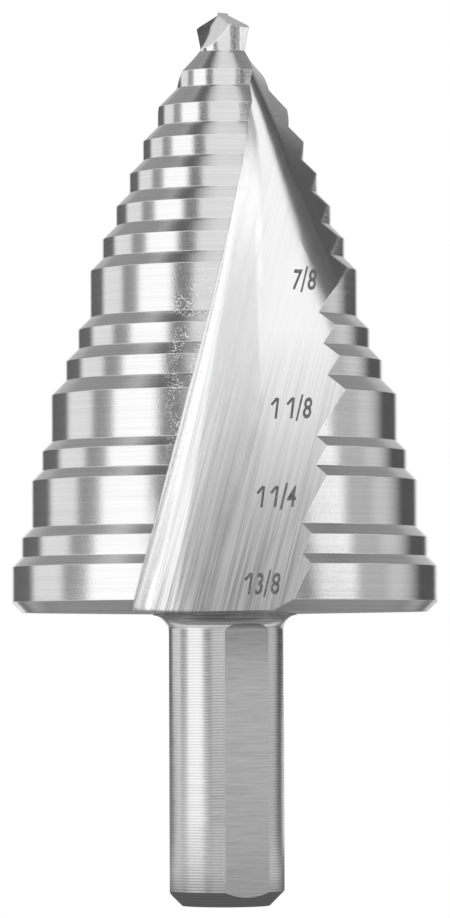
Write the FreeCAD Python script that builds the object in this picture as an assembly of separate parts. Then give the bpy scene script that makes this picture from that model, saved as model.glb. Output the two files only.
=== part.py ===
import FreeCAD, Part
import math
import os

# A two-flute step drill for sheet metal, turned and ground from one bar of high-speed steel.
# Sizes are in millimetres and angles in degrees. The drill stands on the end of its shank, +Z runs up
# its axis to the point, and the origin is the centre of the shank's end face. It cuts when it turns
# anticlockwise seen from the point, so each land's cutting edge is its end in that direction.

# Shank: a 3/8 inch bar with three flats for a drill chuck's jaws
shank_diameter = 9.525
shank_length = 23.55
shank_end_chamfer = 1.2
neck_radius = 1.1
flat_count = 3
flat_depth = 0.4
flat_angle = 23.5
flat_length = 22.2
flat_exit_radius = 0.7

# The four marked hole sizes: 1 3/8, 1 1/4, 1 1/8 and 7/8 inch
widest_diameter = 34.925
wide_diameter = 31.75
middle_diameter = 28.575
narrow_diameter = 22.225

# Steps, from the widest at the back to the one behind the pilot: cutting diameter and length of land
first_land = 1.3
short_land = 1.57
long_land = 3.8
back_land = 2.85
steps = [
    (widest_diameter, back_land),
    (33.4, short_land),
    (wide_diameter, long_land),
    (30.1, short_land),
    (middle_diameter, long_land),
    (26.2, short_land),
    (24.2, short_land),
    (narrow_diameter, long_land),
    (20.2, short_land),
    (18.0, short_land),
    (15.8, short_land),
    (13.6, short_land),
    (11.2, short_land),
    (8.1, first_land),
]
shoulder_angle = 45.0
rim_chamfer = 0.85
back_rise = 0.25

# Pilot drill ahead of the steps
pilot_diameter = 4.7625
pilot_length = 2.05
point_angle = 125.0
lip_relief = 12.0

# Flutes: the wheel keeps its direction up the cone and swings round only near the point. The cutting
# edge winds about a cone whose tip is past the point, and the core thins towards the same tip. Root,
# floor and rounded heel shrink in their own ways.
helix_angle = 10.0
helix_apex_beyond_point = 1.0
lead_at_back = -25.0
cone_power = 0.7
face_angle_at_back = -2.0
face_turn_length = 5.0
floor_slant = 24.0
core_radius_at_back = 12.8
core_radius_at_point = 0.5
core_power = 1.4
root_radius_at_back = 2.5
root_radius_at_point = 0.1
root_power = 2.5
floor_width_at_back = 10.6
floor_width_at_point = 0.1
floor_power = 1.85
heel_radius_at_back = 20.5
heel_radius_at_point = 0.5
heel_power = 1.65
heel_arc = 65.0
flute_sections = 15

# Relief: each land is ground about a centre that is moved off the drill's axis
relief_offset = 0.16
relief_angle = 35.0

# Split point: a notch ahead of each lip thins the web to a short chisel edge, and a gash clears the heel
chisel_half_width = 0.1
notch_start = 0.2
notch_angle = 58.0
notch_fall = 25.0
gash_start = 0.5
gash_angle = 60.0
gash_behind_lip = 110.0

axis = FreeCAD.Vector(0, 0, 1)
origin = FreeCAD.Vector(0, 0, 0)
full_turn = 360.0
half_turn = 180.0
quarter_turn = 90.0
seam_turn = 25.0
seam_margin = 6.0
clear = 2.0 * widest_diameter


def tan(angle):
    return math.tan(math.radians(angle))


def polar(radius, angle, z):
    """A point at an angle counted from the front, -Y, towards +X."""
    turn = math.radians(angle)
    return FreeCAD.Vector(radius * math.sin(turn), -radius * math.cos(turn), z)


def turned(shape, angle):
    """A copy of a shape turned about the drill's axis."""
    copy = shape.copy()
    copy.rotate(origin, axis, angle)
    return copy


# Heights along the axis
back_z = shank_length
shoulder_slope = 1.0 / tan(shoulder_angle)
stack_height = sum(land for _, land in steps) + (widest_diameter - pilot_diameter) / 2.0 * shoulder_slope
pilot_z = back_z + back_rise + rim_chamfer + stack_height
lip_z = pilot_z + pilot_length
point_z = lip_z + pilot_diameter / 2.0 / tan(point_angle / 2.0)
helix_apex_z = point_z + helix_apex_beyond_point
helix_height = helix_apex_z - back_z
wrap = math.degrees(tan(helix_angle) * helix_height / (widest_diameter / 2.0))


def lead_angle(z):
    """Where the cutting edge of the front land stands at a height."""
    return lead_at_back + wrap * math.log(helix_height / (helix_apex_z - z))


def height_of_lead(angle):
    """The height where the cutting edge stands at an angle."""
    return helix_apex_z - helix_height * math.exp((lead_at_back - angle) / wrap)


def cone_radius(z):
    """Radius of the smooth cone that the cutting corners of the steps lie on."""
    return widest_diameter / 2.0 * ((helix_apex_z - z) / helix_height) ** cone_power


def face_angle(z):
    """The way in which the face behind the front cutting edge points at a height."""
    turn_at_lip = lead_angle(lip_z) - face_angle_at_back
    return face_angle_at_back + turn_at_lip * math.exp((z - lip_z) / face_turn_length)


def face_offset(z):
    """How far that face passes ahead of the drill's axis."""
    return cone_radius(z) * math.sin(math.radians(lead_angle(z) - face_angle(z)))


def tapered(at_back, at_point, power, z):
    """A size of the flute that shrinks from the cone's back to the point."""
    return at_point + (at_back - at_point) * ((helix_apex_z - z) / helix_height) ** power


def ground_radius(diameter, z):
    """Radius about the relief centre that puts the cutting edge on its diameter at a height."""
    return diameter / 2.0 - relief_offset * math.cos(math.radians(lead_angle(z) - relief_angle))


def land_outline():
    """Half section of the stepped cone, as pairs of radius and height."""
    z = back_z + back_rise
    radius = ground_radius(widest_diameter, z)
    points = [(0.0, back_z), (radius - rim_chamfer, z), (radius, z + rim_chamfer)]
    z += rim_chamfer
    nominal = widest_diameter
    for diameter, land in steps:
        z += (nominal - diameter) / 2.0 * shoulder_slope
        radius = ground_radius(diameter, z + land / 2.0)
        points += [(radius, z), (radius, z + land)]
        z += land
        nominal = diameter
    radius = ground_radius(pilot_diameter, pilot_z)
    points += [(radius, pilot_z), (radius, point_z), (0.0, point_z)]
    return points


def land_blank():
    """The stepped cone of one land, turned about its relief centre."""
    centre = polar(relief_offset, relief_angle, 0)
    corners = [centre + FreeCAD.Vector(radius, 0, z) for radius, z in land_outline()]
    section = Part.Face(Part.makePolygon(corners + corners[:1]))
    return section.revolve(centre, axis, full_turn)


def front_side():
    """Everything on the front land's side of seams that run up inside the two flutes."""
    sides = []
    low = back_z - clear
    lead = lead_at_back
    while low < point_z:
        high = height_of_lead(lead + seam_turn)
        side = Part.makeBox(2.0 * clear, clear, high - low, FreeCAD.Vector(-clear, -clear, low))
        sides.append(turned(side, lead + seam_turn + seam_margin - quarter_turn))
        low = high
        lead += seam_turn
    return sides[0].multiFuse(sides[1:])


def stepped_cone():
    """Both lands on one core, each relieved behind its own cutting edge."""
    front_land = land_blank().common(front_side())
    return front_land.fuse(turned(front_land, half_turn)).removeSplitter()


def shank():
    """The chuck shank with its end chamfer and the neck that flares into the cone's back."""
    radius = shank_diameter / 2.0
    flare = radius + neck_radius
    inside = back_z + neck_radius
    middle = neck_radius * (1.0 - math.cos(math.radians(quarter_turn / 2.0)))
    start = FreeCAD.Vector(radius, 0, back_z - neck_radius)
    bend = FreeCAD.Vector(radius + middle, 0, back_z - middle)
    end = FreeCAD.Vector(flare, 0, back_z)
    outline = [
        Part.makePolygon([
            FreeCAD.Vector(0, 0, inside),
            FreeCAD.Vector(0, 0, 0),
            FreeCAD.Vector(radius - shank_end_chamfer, 0, 0),
            FreeCAD.Vector(radius, 0, shank_end_chamfer),
            start,
        ]),
        Part.Arc(start, bend, end).toShape(),
        Part.makePolygon([end, FreeCAD.Vector(flare, 0, inside), FreeCAD.Vector(0, 0, inside)]),
    ]
    edges = [edge for piece in outline for edge in piece.Edges]
    return Part.Face(Part.Wire(edges)).revolve(origin, axis, full_turn)


def flat_cutter():
    """What the wheel takes off for one flat, with the rounded end where it leaves the steel."""
    face = shank_diameter / 2.0 - flat_depth
    low = -shank_diameter
    high = flat_length + flat_exit_radius
    corner = FreeCAD.Vector(-shank_diameter, -face - shank_diameter, low)
    block = Part.makeBox(2.0 * shank_diameter, shank_diameter, high - low, corner)
    ends = [edge for edge in block.Edges
            if abs(edge.CenterOfMass.z - high) < 1e-6 and abs(edge.CenterOfMass.y + face) < 1e-6]
    return block.makeFillet(flat_exit_radius, ends)


def flute_section(z):
    """Cross-section of what the flute wheel removes at a height: face, root, floor and rounded heel."""
    size = tapered(core_radius_at_back, core_radius_at_point, core_power, z)
    root = tapered(root_radius_at_back, root_radius_at_point, root_power, z)
    floor = tapered(floor_width_at_back, floor_width_at_point, floor_power, z)
    heel = tapered(heel_radius_at_back, heel_radius_at_point, heel_power, z)
    slant = math.radians(floor_slant)
    offset = face_offset(z)
    up_face = (size + offset * math.sin(slant)) / math.cos(slant)
    corner = (size, offset * math.cos(slant) + up_face * math.sin(slant))
    opening = math.radians(quarter_turn - floor_slant)
    tangent = root / math.tan(opening / 2.0)
    beyond = root / math.sin(opening / 2.0) - root
    root_end = (corner[0], corner[1] + tangent)
    heel_centre = (size - heel, root_end[1] + floor)
    reach = clear + size

    def place(depth, along):
        direction = face_angle(z) - floor_slant
        return polar(depth, direction, z) + polar(along, direction + quarter_turn, 0)

    def face_point(distance):
        return (corner[0] + distance * math.cos(slant), corner[1] + distance * math.sin(slant))

    def heel_point(angle):
        turn = math.radians(angle)
        return (heel_centre[0] + heel * math.cos(turn), heel_centre[1] + heel * math.sin(turn))

    middle = slant + opening / 2.0
    root_middle = (corner[0] + beyond * math.cos(middle), corner[1] + beyond * math.sin(middle))
    heel_end = heel_point(heel_arc)
    turn = math.radians(heel_arc)
    past_heel = (heel_end[0] - reach * math.sin(turn), heel_end[1] + reach * math.cos(turn))
    over_face = face_point(reach)
    edges = [
        Part.makeLine(place(*over_face), place(*face_point(tangent))),
        Part.Arc(place(*face_point(tangent)), place(*root_middle), place(*root_end)).toShape(),
        Part.makeLine(place(*root_end), place(*heel_point(0))),
        Part.Arc(place(*heel_point(0)), place(*heel_point(heel_arc / 2.0)), place(*heel_end)).toShape(),
        Part.makeLine(place(*heel_end), place(*past_heel)),
        Part.makeLine(place(*past_heel), place(over_face[0], past_heel[1] + reach)),
        Part.makeLine(place(over_face[0], past_heel[1] + reach), place(*over_face)),
    ]
    return Part.Wire(edges)


def flute_cutter():
    """The flute's twisted, tapering tool body, from below the cone's back to past the point."""
    low = helix_apex_z - (back_z - neck_radius)
    high = helix_apex_beyond_point
    ratio = (high / low) ** (1.0 / (flute_sections - 1))
    heights = [helix_apex_z - low * ratio ** number for number in range(flute_sections)]
    return Part.makeLoft([flute_section(z) for z in heights], True, False)


def point_wedge():
    """The two flanks of the point as one roof, whose ridge is the chisel edge."""
    fall_out = 1.0 / tan(point_angle / 2.0)
    fall_behind = tan(lip_relief)
    slope = math.hypot(fall_out, fall_behind)
    behind = math.degrees(math.atan2(fall_behind, fall_out))
    width = clear / 2.0
    drop = width * slope
    corners = [
        FreeCAD.Vector(0, -clear, point_z),
        FreeCAD.Vector(-width, -clear, point_z - drop),
        FreeCAD.Vector(-width, -clear, -clear),
        FreeCAD.Vector(width, -clear, -clear),
        FreeCAD.Vector(width, -clear, point_z - drop),
    ]
    roof = Part.Face(Part.makePolygon(corners + corners[:1])).extrude(FreeCAD.Vector(0, 2.0 * clear, 0))
    return turned(roof, lead_angle(lip_z) - behind - quarter_turn)


def notch_cutter():
    """The notch ahead of one lip: one wall in line with the lip, and a floor that falls outwards."""
    reach = pilot_diameter
    lead = lead_angle(lip_z)
    fall = reach * tan(notch_angle)
    outline = [(notch_start, point_z), (notch_start + reach, point_z - fall),
               (notch_start + reach, point_z + reach), (notch_start, point_z + reach)]
    wall = [polar(depth, lead, z) + polar(chisel_half_width, lead + quarter_turn, 0) for depth, z in outline]
    sweep = polar(reach, lead + quarter_turn, -reach * tan(notch_fall))
    return Part.Face(Part.makePolygon(wall + wall[:1])).extrude(sweep)


def gash_cutter():
    """The flat that falls away from the chisel edge and clears the heel behind one lip."""
    reach = pilot_diameter
    direction = lead_angle(lip_z) - gash_behind_lip
    fall = reach * tan(gash_angle)
    outline = [(gash_start, point_z), (gash_start + reach, point_z - fall),
               (gash_start + reach, point_z + reach), (gash_start, point_z + reach)]
    side = [polar(depth, direction, z) + polar(reach, direction - quarter_turn, 0) for depth, z in outline]
    return Part.Face(Part.makePolygon(side + side[:1])).extrude(polar(2.0 * reach, direction + quarter_turn, 0))


def point_space():
    """The space above the steps, to which the cuts of the split point are kept."""
    return Part.makeCylinder(clear, clear, FreeCAD.Vector(0, 0, pilot_z))


def step_drill():
    """The whole tool, in the order in which it is turned, fluted, pointed and given its flats."""
    blank = stepped_cone().fuse(shank())
    cutters = []
    for side in (0.0, half_turn):
        cutters.append(turned(flute_cutter(), side))
        cutters.append(turned(notch_cutter().common(point_space()), side))
        cutters.append(turned(gash_cutter().common(point_space()), side))
    for number in range(flat_count):
        cutters.append(turned(flat_cutter(), flat_angle + number * full_turn / flat_count))
    drill = blank.common(point_wedge())
    for cutter in cutters:
        drill = drill.cut(cutter)
    return drill.removeSplitter()


os.makedirs("parts", exist_ok=True)
drill = step_drill().Solids[0]
drill.exportStep("parts/step_drill.step")
print("height", round(drill.BoundBox.ZMax, 2), "faces", len(drill.Faces), "volume", round(drill.Volume, 1))
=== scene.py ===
import math

import bpy
from mathutils import Matrix, Vector


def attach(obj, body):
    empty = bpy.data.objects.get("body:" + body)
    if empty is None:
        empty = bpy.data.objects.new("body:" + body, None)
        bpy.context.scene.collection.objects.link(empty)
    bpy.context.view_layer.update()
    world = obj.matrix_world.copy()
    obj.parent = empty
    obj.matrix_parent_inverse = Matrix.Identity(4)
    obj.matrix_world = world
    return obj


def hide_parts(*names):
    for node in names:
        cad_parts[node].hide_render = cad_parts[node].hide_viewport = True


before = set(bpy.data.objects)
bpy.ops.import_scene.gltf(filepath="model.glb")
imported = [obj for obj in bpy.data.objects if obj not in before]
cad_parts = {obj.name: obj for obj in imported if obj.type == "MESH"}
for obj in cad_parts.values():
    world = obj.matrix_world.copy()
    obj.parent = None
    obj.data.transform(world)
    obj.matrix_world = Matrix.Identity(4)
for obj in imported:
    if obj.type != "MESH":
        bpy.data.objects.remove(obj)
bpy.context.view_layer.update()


# The camera stands level with the upper part of the shank and looks up a little, as a product
# photograph of a small standing tool is taken. One pixel of the 450 x 918 picture is 0.0814 mm at
# the drill's axis. The drill leans a hair to the left in it, and stands a hair left of the middle.
image_height_px = 918
mm_per_px = 0.0814
camera_distance = 0.440
camera_height = 0.0199
aim_height = 0.03626
camera_roll = -0.21
drill_left_of_middle_px = 0.6

camera_data = bpy.data.cameras.new("camera")
camera_data.sensor_fit = "VERTICAL"
camera_data.sensor_height = 24.0
picture_height = image_height_px * mm_per_px / 1000.0
reach = math.hypot(camera_distance, aim_height - camera_height)
camera_data.lens = camera_data.sensor_height * reach / picture_height
camera_data.shift_x = drill_left_of_middle_px / image_height_px
camera_data.clip_start = 0.01
camera = bpy.data.objects.new("camera", camera_data)
bpy.context.scene.collection.objects.link(camera)
camera.location = (0.0, -camera_distance, camera_height)
aim = Vector((0.0, 0.0, aim_height)) - camera.location
roll = Matrix.Rotation(math.radians(camera_roll), 4, "Z")
camera.rotation_euler = (aim.to_track_quat("-Z", "Y").to_matrix().to_4x4() @ roll).to_euler()
bpy.context.scene.camera = camera
bpy.context.scene.view_settings.view_transform = "Standard"


# The studio is a white tent that only the bright steel sees: the camera sees plain white. Four rows
# of soft panels stand around the drill, one level with it, one above that the tip looks at, and two
# higher still. The roof over them is cloth in grey strips that run from front to back.
level_row = [
    (-180, 0.90), (-167, 0.85), (-162, 0.12), (-131, 0.14), (-124, 0.76), (-101, 0.74), (-95, 0.27),
    (-86, 0.31), (-81, 0.44), (-77, 1.02), (-48, 1.04), (-41, 0.20), (-31, 0.20), (-24, 0.74),
    (36, 0.76), (42, 0.22), (47, 0.22), (54, 0.90), (73, 0.98), (79, 0.43), (96, 0.44), (103, 0.56),
    (111, 0.56), (119, 0.42), (131, 0.08), (156, 0.09), (166, 0.84), (180, 0.90),
]
tip_row = [
    (-180, 0.90), (-167, 0.85), (-162, 0.12), (-131, 0.14), (-124, 0.76), (-101, 0.74), (-95, 0.27),
    (-86, 0.31), (-81, 0.44), (-77, 1.02), (-48, 1.04), (-41, 0.20), (-31, 0.20), (-24, 0.74),
    (26, 0.76), (29, 0.03), (68, 0.03), (71, 0.88), (110, 0.95), (166, 0.84), (180, 0.90),
]
upper_row = [
    (-180, 0.60), (-150, 0.30), (-120, 0.50), (-84, 0.90), (-66, 1.02), (20, 1.02), (36, 1.32),
    (94, 1.32), (106, 0.30), (132, 0.20), (160, 0.45), (180, 0.60),
]
high_row = [
    (-180, 0.34), (-132, 0.27), (-123, 0.58), (-88, 0.80), (-76, 0.90), (-60, 0.93), (40, 0.93),
    (48, 0.55), (58, 0.11), (104, 0.07), (116, 0.09), (124, 0.24), (150, 0.28), (165, 0.40), (180, 0.40),
]
roof_strips = [
    (-0.60, 0.52), (-0.47, 0.52), (-0.41, 0.42), (-0.37, 0.24), (-0.33, 0.12), (-0.26, 0.12),
    (-0.20, 0.42), (-0.14, 0.60), (-0.06, 0.72), (0.20, 0.68), (0.27, 0.24), (0.36, 0.22),
    (0.48, 0.30), (0.60, 0.28),
]
tip_row_rise = (0.088, 0.098)
upper_row_rise = (0.135, 0.18)
high_row_rise = (0.40, 0.47)
roof_rise = (0.84, 0.88)


def linear(hex_colour):
    """The linear RGBA of an sRGB colour written as #rrggbb."""
    channels = []
    for start in (1, 3, 5):
        value = int(hex_colour[start:start + 2], 16) / 255.0
        channels.append(value / 12.92 if value <= 0.04045 else ((value + 0.055) / 1.055) ** 2.4)
    return (*channels, 1.0)


def add(tree, kind, inputs=(), stops=(), **settings):
    """A node with its settings and links. Inputs go by name or in the node's own order, each as a value or
    as the socket that feeds it, and a colour ramp takes stops, as places and colours."""
    node = tree.nodes.new(kind)
    for name, value in settings.items():
        setattr(node, name, value)
    pairs = inputs.items() if isinstance(inputs, dict) else enumerate(inputs)
    for name, value in pairs:
        if isinstance(value, bpy.types.NodeSocket):
            tree.links.new(value, node.inputs[name])
        else:
            node.inputs[name].default_value = value
    for number, (place, colour) in enumerate(stops):
        stop = node.color_ramp.elements[number] if number < 2 else node.color_ramp.elements.new(place)
        stop.position = place
        stop.color = colour
    return node


def turn_around(tree, parts):
    """The way round the drill in degrees: 0 is toward the camera and 90 to the right."""
    front = add(tree, "ShaderNodeMath", (parts["Y"], -1.0), operation="MULTIPLY").outputs[0]
    turn = add(tree, "ShaderNodeMath", (parts["X"], front), operation="ARCTAN2").outputs[0]
    return add(tree, "ShaderNodeMath", (turn,), operation="DEGREES").outputs[0]


def grey_along(tree, value, levels):
    """A grey that follows pairs of a value and a level, from the first pair to the last."""
    first, last = levels[0][0], levels[-1][0]
    share = add(tree, "ShaderNodeMapRange", (value, first, last)).outputs[0]
    stops = [((place - first) / (last - first), (level, level, level, 1.0)) for place, level in levels]
    return add(tree, "ShaderNodeValToRGB", (share,), stops).outputs[0]


world = bpy.data.worlds.new("studio")
bpy.context.scene.world = world
world.use_nodes = True
tree = world.node_tree
tree.nodes.clear()
direction = add(tree, "ShaderNodeTexCoord").outputs["Generated"]
parts = add(tree, "ShaderNodeSeparateXYZ", (direction,)).outputs
turn = turn_around(tree, parts)
room = grey_along(tree, turn, level_row)
for along, levels, rise in (
        (turn, tip_row, tip_row_rise), (turn, upper_row, upper_row_rise),
        (turn, high_row, high_row_rise), (parts["X"], roof_strips, roof_rise)):
    share = add(tree, "ShaderNodeMapRange", (parts["Z"], *rise)).outputs[0]
    higher = grey_along(tree, along, levels)
    room = add(tree, "ShaderNodeMix", {0: share, 6: room, 7: higher}, data_type="RGBA").outputs[2]
rays = add(tree, "ShaderNodeLightPath").outputs
tent = add(tree, "ShaderNodeBackground", (room, 1.0)).outputs[0]
plain = add(tree, "ShaderNodeBackground", (linear("#ffffff"), 1.0)).outputs[0]
studio = add(tree, "ShaderNodeMixShader", (rays["Is Glossy Ray"], plain, tent)).outputs[0]
add(tree, "ShaderNodeOutputWorld", (studio,))


# The floor is a round sheet of white paper on which the drill stands. The camera sees it plain
# white. The bright steel sees it glow with painted light and shade: a painted shadow close to the
# shank, painted shade behind the drill, painted light further out, and painted panels beyond that.
floor_radius = 2.0
near_floor_painted_shade_and_light = [
    (0.0, 0.10), (0.014, 0.14), (0.022, 0.26), (0.044, 0.28), (0.062, 0.74), (0.085, 0.70), (0.12, 0.42),
]
painted_shade_behind = (0.16, 0.16, 0.16, 1.0)
painted_shade_behind_turn = (112.0, 150.0)
far_floor_rise = (0.10, 0.16)
far_floor_painted_panels = [
    (-180, 0.26), (-172, 0.26), (-166, 1.00), (-153, 0.90), (-141, 0.24), (-126, 0.24), (-114, 0.50),
    (-104, 0.66), (-92, 0.62), (-84, 0.84), (-74, 1.08), (-56, 1.12), (-44, 1.04), (-36, 0.80),
    (-28, 0.42), (-18, 0.32), (0, 0.32), (30, 0.36), (84, 0.42), (104, 0.46), (114, 0.34), (126, 0.16),
    (140, 0.20), (150, 0.60), (166, 0.70), (172, 0.26), (180, 0.26),
]


def new_material(name):
    """A material and its node tree, still empty."""
    material = bpy.data.materials.new(name)
    material.use_nodes = True
    material.node_tree.nodes.clear()
    return material, material.node_tree


bpy.ops.object.select_all(action="DESELECT")
bpy.ops.mesh.primitive_circle_add(vertices=96, radius=floor_radius, fill_type="NGON", location=(0, 0, 0))
floor = bpy.context.object
floor.name = "floor"

# Matt paper has no shine, so it is a plain diffuse white for all that isn't the camera or the steel.
white_paper, tree = new_material("white_paper")
place = add(tree, "ShaderNodeTexCoord").outputs["Object"]
turn = turn_around(tree, add(tree, "ShaderNodeSeparateXYZ", (place,)).outputs)
distance = add(tree, "ShaderNodeVectorMath", (place,), operation="LENGTH").outputs["Value"]
turned_away = add(tree, "ShaderNodeMath", (turn,), operation="ABSOLUTE").outputs[0]
behind = add(tree, "ShaderNodeMapRange", (turned_away, *painted_shade_behind_turn)).outputs[0]
beyond = add(tree, "ShaderNodeMapRange", (distance, *far_floor_rise)).outputs[0]
near = grey_along(tree, distance, near_floor_painted_shade_and_light)
near = add(tree, "ShaderNodeMix", {0: behind, 6: near, 7: painted_shade_behind}, data_type="RGBA").outputs[2]
far = grey_along(tree, turn, far_floor_painted_panels)
floor_painted_shade_and_light = add(tree, "ShaderNodeMix", {0: beyond, 6: near, 7: far}, data_type="RGBA").outputs[2]
rays = add(tree, "ShaderNodeLightPath").outputs
lit = add(tree, "ShaderNodeBsdfDiffuse", (linear("#f4f4f4"),)).outputs[0]
plain = add(tree, "ShaderNodeEmission", (linear("#ffffff"), 1.0)).outputs[0]
# In the steel's glossy rays the paper glows with this painted shade and painted light.
painted_glow_in_steel = add(tree, "ShaderNodeEmission", (floor_painted_shade_and_light, 1.0)).outputs[0]
paper = add(tree, "ShaderNodeMixShader", (rays["Is Camera Ray"], lit, plain)).outputs[0]
paper = add(tree, "ShaderNodeMixShader", (rays["Is Glossy Ray"], paper, painted_glow_in_steel)).outputs[0]
add(tree, "ShaderNodeOutputMaterial", (paper,))
floor.data.materials.append(white_paper)


# The drill is one bar of hardened high-speed steel. Its lands, shoulders and rim are turned and left
# bright, with fine rings, edges broken by a hair, and pale specks beside each cutting edge halfway up.
# A merged copy of the solid's mesh stands in for it, with one finish for each kind of face.
ring_pitch_mm = 0.16
ring_length_mm = 20.0
grain_size_mm = 0.13
speck_size_mm = 0.14
speck_patch_mm = (1.8, 1.8, 3.0)
speckled_heights = ((0.034, 0.039), (0.052, 0.048))
speckled_across = ((0.0002, 0.0010), (0.0050, 0.0040))
edge_round = 0.00007


def tool_marks(tree, size_mm, detail=2.0, point=None):
    """Noise whose grains, rings or streaks measure so many millimetres along X, Y and Z."""
    if point is None:
        point = add(tree, "ShaderNodeTexCoord").outputs["Object"]
    scale = tuple(1000.0 / length for length in size_mm)
    place = add(tree, "ShaderNodeMapping", {"Vector": point, "Scale": scale}).outputs[0]
    return add(tree, "ShaderNodeTexNoise", {
        "Vector": place, "Scale": 1.0, "Detail": detail, "Roughness": 0.6}).outputs[0]


def left_of_axis(tree, parts):
    """How far left of the axis a point is for someone who faces the flute on its side, front or rear."""
    side = add(tree, "ShaderNodeMath", (parts["Y"],), operation="SIGN").outputs[0]
    return add(tree, "ShaderNodeMath", (parts["X"], side), operation="MULTIPLY").outputs[0]


# Turned steel mirrors the room in upright bands, a little broken by the rings. Real rings and grain
# are finer than a pixel, so these are as coarse as they need to be to show.
turned_steel, tree = new_material("turned_high_speed_steel")
rings = tool_marks(tree, (ring_length_mm, ring_length_mm, ring_pitch_mm))
grain = tool_marks(tree, (grain_size_mm, grain_size_mm, grain_size_mm), 3.0)
specks = tool_marks(tree, (speck_size_mm, speck_size_mm, speck_size_mm), 1.0)
specks = add(tree, "ShaderNodeMapRange", (specks, 0.54, 0.60)).outputs[0]
patches = tool_marks(tree, speck_patch_mm, 1.0)
patches = add(tree, "ShaderNodeMapRange", (patches, 0.38, 0.52)).outputs[0]
parts = add(tree, "ShaderNodeSeparateXYZ", (add(tree, "ShaderNodeTexCoord").outputs["Object"],)).outputs
for along, edges in ((parts["Z"], speckled_heights), (left_of_axis(tree, parts), speckled_across)):
    for outside, inside in edges:
        fade = add(tree, "ShaderNodeMapRange", (along, outside, inside)).outputs[0]
        patches = add(tree, "ShaderNodeMath", (patches, fade), operation="MULTIPLY").outputs[0]
specks = add(tree, "ShaderNodeMath", (specks, patches), operation="MULTIPLY").outputs[0]
rounded = add(tree, "ShaderNodeBevel", {"Radius": edge_round}, samples=6).outputs[0]
ring_bump = add(tree, "ShaderNodeBump", {
    "Height": rings, "Strength": 0.20, "Distance": 0.00001, "Normal": rounded}).outputs[0]
grain_bump = add(tree, "ShaderNodeBump", {
    "Height": grain, "Strength": 0.45, "Distance": 0.00001, "Normal": ring_bump}).outputs[0]
ring_colour = [(0.3, linear("#f3f3f3")), (0.7, linear("#fdfdfd"))]
shader = add(tree, "ShaderNodeBsdfPrincipled", {
    "Base Color": add(tree, "ShaderNodeValToRGB", (rings,), ring_colour).outputs[0],
    "Metallic": add(tree, "ShaderNodeMapRange", (specks, 0.0, 1.0, 1.0, 0.25)).outputs[0],
    "Roughness": add(tree, "ShaderNodeMapRange", (grain, 0.35, 0.75, 0.07, 0.17)).outputs[0],
    "Normal": grain_bump})
add(tree, "ShaderNodeOutputMaterial", (shader.outputs[0],))

cad_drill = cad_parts["step_drill"]
bpy.ops.object.select_all(action="DESELECT")
cad_drill.select_set(True)
bpy.context.view_layer.objects.active = cad_drill
bpy.ops.object.duplicate()
drill = bpy.context.object
drill.name = "drill"
drill.data.materials.clear()
drill.data.materials.append(turned_steel)
bpy.ops.object.mode_set(mode="EDIT")
bpy.ops.mesh.select_all(action="SELECT")
bpy.ops.mesh.remove_doubles(threshold=0.000001, use_sharp_edge_from_normals=True)
bpy.ops.object.mode_set(mode="OBJECT")


def give_finish(material, faces):
    """Puts a finish on some faces of the drill, given by their numbers."""
    drill.data.materials.append(material)
    drill.active_material_index = len(drill.data.materials) - 1
    bpy.ops.object.mode_set(mode="EDIT")
    bpy.ops.mesh.select_mode(type="FACE")
    bpy.ops.mesh.select_all(action="DESELECT")
    bpy.ops.object.mode_set(mode="OBJECT")
    for number in faces:
        drill.data.polygons[number].select = True
    bpy.ops.object.mode_set(mode="EDIT")
    bpy.ops.object.material_slot_assign()
    bpy.ops.object.mode_set(mode="OBJECT")


# The two flutes and the point are ground. The wheel leaves fine streaks along the cutting edge, deep
# ones near the back and hardly any near the point, and it splits the point with a dull notch and
# gash. The front of the cone is at -Y, and the rear flute is the same half a turn round.
back_height = 0.02355
pilot_height = 0.0694
step_sizes_mm = [
    (34.925, 2.85), (33.4, 1.57), (31.75, 3.8), (30.1, 1.57), (28.575, 3.8), (26.2, 1.57), (24.2, 1.57),
    (22.225, 3.8), (20.2, 1.57), (18.0, 1.57), (15.8, 1.57), (13.6, 1.57), (11.2, 1.57), (8.1, 1.3),
    (4.7625, 2.0),
]
rim_mm = 0.85
back_rise_mm = 0.25
relief_mm = 0.42
streak_lean = 14.3
fine_streak_mm = (0.085, 10.0, 16.0)
broad_streak_mm = (0.5, 10.0, 16.0)
deep_to_faint = (0.026, 0.046)
root_band = (0.0078, 0.0108)
root_round = 0.0004
# Painted shade down the flute's floor, as heights and greys, darker toward the back of the cone.
flute_floor_painted_shade = [(0.024, 0.46), (0.0324, 0.59), (0.0394, 0.82), (0.0464, 1.0), (0.052, 1.0)]


def turned_radius(height_mm):
    """Radius in mm of the stepped cone at a height."""
    low = back_height * 1000.0 + back_rise_mm
    if height_mm < low + rim_mm:
        return step_sizes_mm[0][0] / 2.0 - (low + rim_mm - height_mm)
    low += rim_mm
    before = step_sizes_mm[0][0]
    for diameter, land in step_sizes_mm:
        rise = (before - diameter) / 2.0
        if height_mm < low + rise:
            return before / 2.0 - (height_mm - low)
        if height_mm < low + rise + land:
            return diameter / 2.0
        low += rise + land
        before = diameter
    return before / 2.0


def is_turned(polygon):
    """True for faces of lands, shoulders, rim and back, which the lathe left."""
    x, y, z = polygon.center
    if z < back_height + back_rise_mm / 1000.0 and polygon.normal.z < -0.95:
        return True
    radius = math.hypot(x, y)
    across = abs(polygon.normal.x * y - polygon.normal.y * x) / max(radius, 1e-9)
    short_mm = turned_radius(z * 1000.0) - radius * 1000.0
    is_land_or_shoulder = abs(polygon.normal.z) < 0.02 or abs(polygon.normal.z) > 0.69
    return across < 0.10 and -0.06 < short_mm < relief_mm and is_land_or_shoulder


in_cone = [face for face in drill.data.polygons if back_height + 0.00002 < face.center.z < pilot_height]
in_point = [face for face in drill.data.polygons if face.center.z > pilot_height]
flute_faces = [face.index for face in in_cone + in_point if not is_turned(face)]
gash_faces = [face.index for face in in_point if face.normal.z < 0.05 and not is_turned(face)]

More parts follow.
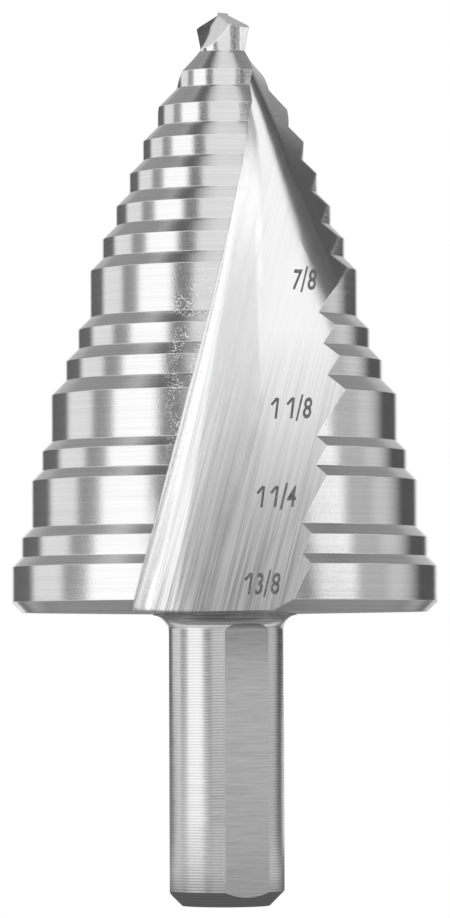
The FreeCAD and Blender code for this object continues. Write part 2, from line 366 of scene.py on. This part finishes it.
# Wheel-ground steel is bright but soft, because the streaks spread what it mirrors. The real streaks
# are finer, and these are as coarse as they need to be to show.
fluted_steel, tree = new_material("wheel_ground_high_speed_steel")
point = add(tree, "ShaderNodeTexCoord").outputs["Object"]
parts = add(tree, "ShaderNodeSeparateXYZ", (point,)).outputs
unfolded = add(tree, "ShaderNodeCombineXYZ", {0: left_of_axis(tree, parts), 2: parts["Z"]}).outputs[0]
leaned = add(tree, "ShaderNodeMapping", {
    "Vector": unfolded, "Rotation": (0.0, math.radians(streak_lean), 0.0)}).outputs[0]
fine = tool_marks(tree, fine_streak_mm, 2.0, leaned)
broad = tool_marks(tree, broad_streak_mm, 2.0, leaned)
streaks = add(tree, "ShaderNodeMath", (fine, broad), operation="MULTIPLY").outputs[0]
streaks = add(tree, "ShaderNodeMapRange", (streaks, 0.20, 0.34)).outputs[0]
depth = add(tree, "ShaderNodeMapRange", (parts["Z"], *deep_to_faint, 1.0, 0.10)).outputs[0]
streaks = add(tree, "ShaderNodeMath", (streaks, depth), operation="MULTIPLY").outputs[0]
streak_colour = [(0.0, linear("#ffffff")), (1.0, linear("#cfcfcf"))]
streaked = add(tree, "ShaderNodeValToRGB", (streaks,), streak_colour).outputs[0]
toward_edge = add(tree, "ShaderNodeSeparateXYZ", (leaned,)).outputs["X"]
painted_shade_on_flute_floor = add(tree, "ShaderNodeMapRange", (toward_edge, *root_band, 1.0, 0.0)).outputs[0]
rounding = add(tree, "ShaderNodeMapRange", (toward_edge, *root_band, edge_round, root_round)).outputs[0]
rounded = add(tree, "ShaderNodeBevel", {"Radius": rounding}, samples=6).outputs[0]
streak_bump = add(tree, "ShaderNodeBump", {
    "Height": fine, "Strength": 0.12, "Distance": 0.00001, "Normal": rounded}).outputs[0]
grain = tool_marks(tree, (grain_size_mm, grain_size_mm, grain_size_mm), 3.0)
grain_bump = add(tree, "ShaderNodeBump", {
    "Height": grain, "Strength": 0.35, "Distance": 0.00001, "Normal": streak_bump}).outputs[0]
# The flute's floor is multiplied by painted shade that darkens it toward the back, on top of the streaks' own
# tone.
shader = add(tree, "ShaderNodeBsdfPrincipled", {
    "Base Color": add(tree, "ShaderNodeMix", {
        0: painted_shade_on_flute_floor, 6: streaked, 7: grey_along(tree, parts["Z"], flute_floor_painted_shade)},
        data_type="RGBA", blend_type="MULTIPLY").outputs[2],
    "Metallic": 1.0,
    "Roughness": add(tree, "ShaderNodeMapRange", (fine, 0.3, 0.7, 0.18, 0.25)).outputs[0],
    "Normal": grain_bump})
add(tree, "ShaderNodeOutputMaterial", (shader.outputs[0],))
give_finish(fluted_steel, flute_faces)

# The gash is left dull, and its dark grey colour is painted shade, so it looks dark and even.
gash_painted_shade_steel, tree = new_material("dull_point_gash_painted_shade_steel")
grain = tool_marks(tree, (grain_size_mm, grain_size_mm, grain_size_mm), 3.0)
gash_painted_shade_colour = [(0.3, linear("#555555")), (0.7, linear("#6f6f6f"))]
shader = add(tree, "ShaderNodeBsdfPrincipled", {
    "Base Color": add(tree, "ShaderNodeValToRGB", (grain,), gash_painted_shade_colour).outputs[0],
    "Metallic": 1.0, "Roughness": 0.35})
add(tree, "ShaderNodeOutputMaterial", (shader.outputs[0],))
give_finish(gash_painted_shade_steel, gash_faces)


# The rake face is the steep side of each flute, just under the cutting edge. The rim of the wheel
# grinds it matt and finely grained, and leaves a rounded root where it meets the floor.
lead_at_back = -25.0
edge_wrap = 29.05
flute_tip_height = 0.0737
edge_to_floor_middle = 70.0
rake_from = 40.0
rake_grain_mm = 0.22


def turn_of_rake(polygon):
    """Which way a face on the edge's side of a flute points, in degrees from the front for the front one."""
    x, y, z = polygon.center
    if z > pilot_height:
        return -180.0
    lead = lead_at_back + edge_wrap * math.log((flute_tip_height - back_height) / (flute_tip_height - z))
    turn = math.degrees(math.atan2(x, -y))
    from_middle = (turn - lead - edge_to_floor_middle + 180.0) % 360.0 - 180.0
    facing = math.degrees(math.atan2(polygon.normal.x, -polygon.normal.y))
    if abs(from_middle) > 90.0:
        facing += 180.0
        from_middle = (from_middle + 180.0) % 360.0
    facing = (facing + 180.0) % 360.0 - 180.0
    return facing if from_middle < 0.0 else -180.0


# A matt rake face spreads what it mirrors into an even light grey.
rake_steel, tree = new_material("matt_rake_face_steel")
grain = tool_marks(tree, (rake_grain_mm, rake_grain_mm, rake_grain_mm), 3.0)
rounded = add(tree, "ShaderNodeBevel", {"Radius": root_round}, samples=6).outputs[0]
grain_bump = add(tree, "ShaderNodeBump", {
    "Height": grain, "Strength": 0.3, "Distance": 0.00002, "Normal": rounded}).outputs[0]
rake_colour = [(0.35, linear("#efefef")), (0.70, linear("#ffffff"))]
shader = add(tree, "ShaderNodeBsdfPrincipled", {
    "Base Color": add(tree, "ShaderNodeValToRGB", (grain,), rake_colour).outputs[0],
    "Metallic": 1.0, "Roughness": 0.20, "Normal": grain_bump})
add(tree, "ShaderNodeOutputMaterial", (shader.outputs[0],))
give_finish(rake_steel, [face for face in flute_faces if turn_of_rake(drill.data.polygons[face]) > rake_from])


# The shank is turned with plain, even rings and runs into the cone's back in a fillet. Its three
# flats, a third of a turn apart, are milled across and left matt, for the jaws of a chuck.
shank_radius = 0.0047625
neck_reach = 0.0013
shank_ring_mm = 0.23
flat_turns = (23.5, 143.5, 263.5)
flat_half_width = 0.0021
flat_runout = (0.0221, 0.0229)
mill_mark_mm = (3.0, 3.0, 0.18)
blotch_mm = (4.0, 4.0, 0.6)

# The rings catch the light one by one on the turned steel. They are drawn wide enough to show.
shank_steel, tree = new_material("turned_shank_steel")
point = add(tree, "ShaderNodeTexCoord").outputs["Object"]
rings = add(tree, "ShaderNodeTexWave", {
    "Vector": point, "Scale": math.pi / 10.0 / (shank_ring_mm / 1000.0), "Distortion": 0.0},
    wave_type="BANDS", bands_direction="Z", wave_profile="SIN").outputs[1]
blotches = tool_marks(tree, blotch_mm)
ring_bump = add(tree, "ShaderNodeBump", {
    "Height": rings, "Strength": 0.15, "Distance": 0.000005}).outputs[0]
# The shank's grey is darker than the cone's turned steel: painted shade that dims what it mirrors, with the
# rings' own tone on top.
shank_rings_and_painted_shade = [(0.0, linear("#e2e2e2")), (1.0, linear("#f3f3f3"))]
shader = add(tree, "ShaderNodeBsdfPrincipled", {
    "Base Color": add(tree, "ShaderNodeValToRGB", (rings,), shank_rings_and_painted_shade).outputs[0],
    "Metallic": 1.0,
    "Roughness": add(tree, "ShaderNodeMapRange", (blotches, 0.3, 0.7, 0.12, 0.20)).outputs[0],
    "Normal": ring_bump})
add(tree, "ShaderNodeOutputMaterial", (shader.outputs[0],))

# Milled steel is covered with short marks, so a flat is an even mid grey with no clear reflection.
milled_steel, tree = new_material("milled_flat_steel")
mill_marks = tool_marks(tree, mill_mark_mm)
grain = tool_marks(tree, (grain_size_mm, grain_size_mm, grain_size_mm), 3.0)
mark_bump = add(tree, "ShaderNodeBump", {
    "Height": mill_marks, "Strength": 0.25, "Distance": 0.00002}).outputs[0]
flat_colour = [(0.3, linear("#cecece")), (0.7, linear("#e2e2e2"))]
shader = add(tree, "ShaderNodeBsdfPrincipled", {
    "Base Color": add(tree, "ShaderNodeValToRGB", (mill_marks,), flat_colour).outputs[0],
    "Metallic": 1.0,
    "Roughness": add(tree, "ShaderNodeMapRange", (grain, 0.3, 0.7, 0.38, 0.52)).outputs[0],
    "Normal": mark_bump})
add(tree, "ShaderNodeOutputMaterial", (shader.outputs[0],))


def is_flat(polygon):
    """True for the faces of the three flats and their rounded ends."""
    if polygon.center.z > flat_runout[1]:
        return False
    for turn in flat_turns:
        way = Vector((math.sin(math.radians(turn)), -math.cos(math.radians(turn)), 0.0))
        sideways = Vector((way.y, -way.x, 0.0))
        out = polygon.center.dot(way)
        is_across = abs(polygon.center.dot(sideways)) < flat_half_width
        if is_across and abs(polygon.normal.dot(sideways)) < 0.02 and 0.0 < out < shank_radius - 0.00002:
            return polygon.normal.dot(way) > 0.99 or polygon.center.z > flat_runout[0]
    return False


below_cone = [face for face in drill.data.polygons if face.center.z < back_height and not is_flat(face)]
shank_faces = [face.index for face in below_cone
               if math.hypot(face.center.x, face.center.y) < shank_radius + neck_reach]
flat_faces = [face.index for face in drill.data.polygons if is_flat(face)]
give_finish(shank_steel, shank_faces)
give_finish(milled_steel, flat_faces)

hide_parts("step_drill")
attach(drill, "root")


# The hole size of each long land is etched on the front flute beside it, in small figures that stand
# upright. Each mark is text made into a flat mesh and pressed onto the flute. It has no depth to speak
# of. Where the figures stand is given in pixels, which are a little smaller at the flute than at the axis.
figure_width = 0.00140
figure_height = 0.00232
figure_thickness = 0.00001
figure_weight = 0.018
figure_slant = 0.22
slash_height = 1.25
flag_length = 0.00074
flag_width = 0.00020
flag_lean = -50.0
in_front = -0.03
mm_per_px_on_flute = 0.0788
axis_px = 224.5
etched_grain_mm = 0.15
marks = {
    "7_8": (0.0503, (("7", 297.7), ("/", 305.2), ("8", 313.4))),
    "1_1_8": (0.0398, (("1", 276.2), ("1", 292.0), ("/", 299.0), ("8", 307.2))),
    "1_1_4": (0.0327, (("1", 261.4), ("1", 275.0), ("/", 282.6), ("4", 290.6))),
    "1_3_8": (0.0258, (("1", 248.6), ("3", 257.8), ("/", 265.4), ("8", 273.8))),
}

# Etching leaves a dark oxide that is rough and takes no shine, so the figures are a spotty dark grey.
mark_ink, tree = new_material("etched_dark_oxide")
spots = tool_marks(tree, (etched_grain_mm, etched_grain_mm, etched_grain_mm))
ink_colour = [(0.35, linear("#4b4b4b")), (0.65, linear("#7c7c7c"))]
shader = add(tree, "ShaderNodeBsdfPrincipled", {
    "Base Color": add(tree, "ShaderNodeValToRGB", (spots,), ink_colour).outputs[0],
    "Metallic": 0.0, "Roughness": 0.6})
add(tree, "ShaderNodeOutputMaterial", (shader.outputs[0],))


def figure(sign, across, height):
    """One figure as a flat mesh that stands in front of the drill. The 1 gets its slanted flag."""
    bpy.ops.object.select_all(action="DESELECT")
    bpy.ops.object.text_add(location=(0, 0, 0))
    shape = bpy.context.object
    shape.data.body = sign
    shape.data.align_x = "CENTER"
    shape.data.align_y = "CENTER"
    shape.data.offset = figure_weight
    shape.data.shear = figure_slant
    bpy.ops.object.convert(target="MESH")
    shape.scale = (figure_width, figure_height * (slash_height if sign == "/" else 1.0), 1.0)
    shape.rotation_euler = (math.radians(90.0), 0.0, 0.0)
    shape.location = (across, in_front, height)
    bpy.ops.object.transform_apply(location=True, rotation=True, scale=True)
    if sign == "1":
        top = max(vertex.co.z for vertex in shape.data.vertices)
        bpy.ops.mesh.primitive_plane_add(
            size=1.0, location=(across - flag_length * 0.10, in_front, top - flag_length * 0.36),
            rotation=(math.radians(90.0), math.radians(flag_lean), 0.0))
        flag = bpy.context.object
        flag.scale = (flag_length, flag_width, 1.0)
        bpy.ops.object.transform_apply(location=True, rotation=True, scale=True)
        shape.select_set(True)
        bpy.context.view_layer.objects.active = shape
        bpy.ops.object.join()
    return shape


for name, (height, signs) in marks.items():
    figures = [figure(sign, (px - axis_px) * mm_per_px_on_flute / 1000.0, height) for sign, px in signs]
    bpy.ops.object.select_all(action="DESELECT")
    for shape in figures:
        shape.select_set(True)
    bpy.context.view_layer.objects.active = figures[0]
    bpy.ops.object.join()
    mark = bpy.context.object
    mark.name = "size_mark_" + name
    bpy.ops.object.mode_set(mode="EDIT")
    bpy.ops.mesh.select_all(action="SELECT")
    bpy.ops.mesh.remove_doubles(threshold=0.0000001)
    bpy.ops.mesh.subdivide(number_cuts=2)
    bpy.ops.object.mode_set(mode="OBJECT")
    wrap = mark.modifiers.new("onto_flute", "SHRINKWRAP")
    wrap.target = drill
    wrap.wrap_method = "PROJECT"
    wrap.use_project_y = True
    wrap.use_positive_direction = True
    wrap.use_negative_direction = False
    wrap.offset = figure_thickness
    bpy.ops.object.modifier_apply(modifier="onto_flute")
    mark.data.materials.clear()
    mark.data.materials.append(mark_ink)
    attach(mark, "root")
